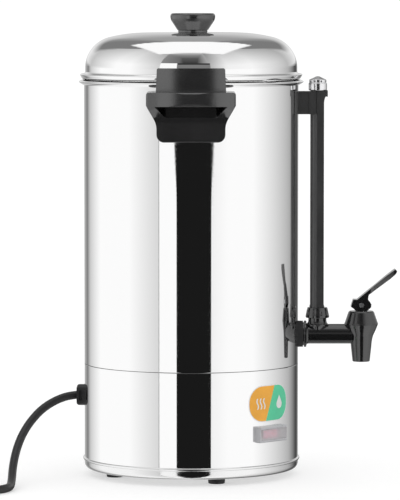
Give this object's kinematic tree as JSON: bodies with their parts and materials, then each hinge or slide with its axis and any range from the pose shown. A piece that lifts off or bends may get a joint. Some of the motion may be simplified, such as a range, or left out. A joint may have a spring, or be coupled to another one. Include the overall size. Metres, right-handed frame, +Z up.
{
  "type": "hot water urn",
  "caption": "Upright polished steel hot water urn with domed lift-off lid, black side handles, sight gauge, lever tap and mains cord.",
  "frame": {"origin": "on the floor, under the centre of the tank, in the plane of the feet", "axes": "+Z up along the tank's axis; the tap faces -Y, the handles are at -X and +X, the cord leaves at +Y"},
  "size_m": [0.3356, 0.5497, 0.4752],
  "materials": {
    "polished_steel": "mirror-polished stainless steel",
    "black_handle": "black phenolic with a low sheen",
    "black_gloss": "glossy black moulding",
    "bright_cap": "bright plated plastic",
    "sight_glass": "clear borosilicate tube",
    "silicone": "translucent white silicone",
    "black_rubber": "matt black rubber",
    "gland_black": "satin black nylon",
    "zinc": "bright zinc plate",
    "switch_grey": "satin grey plastic",
    "rocker_red": "translucent red plastic",
    "clear_cover": "clear soft vinyl",
    "cord_sheath": "satin black flexible sheath",
    "plug_metal": "nickel-plated brass",
    "spreader": "plain aluminium",
    "element_sheath": "heat-dulled steel sheath",
    "sensor_body": "matt phenolic",
    "terminal_ivory": "matt ivory nylon",
    "wire_sheath": "matt heat-proof sleeve"
  },
  "bodies": {
    "urn": {"tank": "polished_steel", "skirt": "polished_steel", "base_pan": "polished_steel", "feet": "black_rubber", "foot_screws": "zinc", "foot_nuts": "zinc", "tie_stud": "zinc", "tie_nut": "zinc", "handle_left": "black_handle", "handle_right": "black_handle", "handle_screws": "zinc", "handle_seals": "silicone", "tap_tee": "black_gloss", "tee_nut": "zinc", "tee_seal_inner": "silicone", "tee_seal_outer": "black_rubber", "gauge_seal": "silicone", "gauge_nut": "black_gloss", "gauge_glass": "sight_glass", "gauge_shield": "black_gloss", "gauge_bracket": "black_gloss", "bracket_screw": "zinc", "bracket_seal": "silicone", "gauge_cap": "bright_cap", "tap_body": "black_gloss", "tap_bonnet": "black_gloss", "switch_housing": "switch_grey", "switch_cover": "clear_cover", "cord_gland": "gland_black", "cord_lead": "cord_sheath", "cord_coil": "cord_sheath", "cord_tail": "cord_sheath", "plug_body": "cord_sheath", "plug_pins": "plug_metal", "heater_plate": "spreader", "heating_element": "element_sheath", "thermostat": "sensor_body", "thermal_cutout": "sensor_body", "terminal_block": "terminal_ivory", "wiring": "wire_sheath"},
    "lid": {"lid": "polished_steel", "lid_collar": "polished_steel", "lid_knob": "black_handle", "knob_screw": "zinc", "knob_washer": "zinc"},
    "valve": {"valve_stem": "zinc", "seat_cup": "silicone"},
    "lever": {"tap_lever": "black_gloss", "lever_pin": "zinc"},
    "rocker": {"switch_rocker": "rocker_red"}
  },
  "joints": [
    {"name": "lid_lift", "type": "slide", "parent": "urn", "child": "lid", "axis": [0, 0, 1], "range_m": [0, 0.15]},
    {"name": "valve_lift", "type": "slide", "parent": "urn", "child": "valve", "axis": [0, 0, 1], "range_m": [0, 0.0032]},
    {"name": "lever_tilt", "type": "hinge", "parent": "valve", "child": "lever", "pos_m": [0, -0.1751, 0.175], "axis": [1, 0, 0], "range_deg": [0, 35], "stiffness_Nm_per_rad": 0.3, "springref_deg": -11.46},
    {"name": "switch_rock", "type": "hinge", "parent": "urn", "child": "rocker", "pos_m": [-0.07153, -0.07591, 0.0504], "axis": [0, 0, 1], "range_deg": [-16, 0]}
  ],
  "couplings": [
    {"joint": "valve_lift", "follows": "lever_tilt", "m_per_rad": 0.0052}
  ]
}
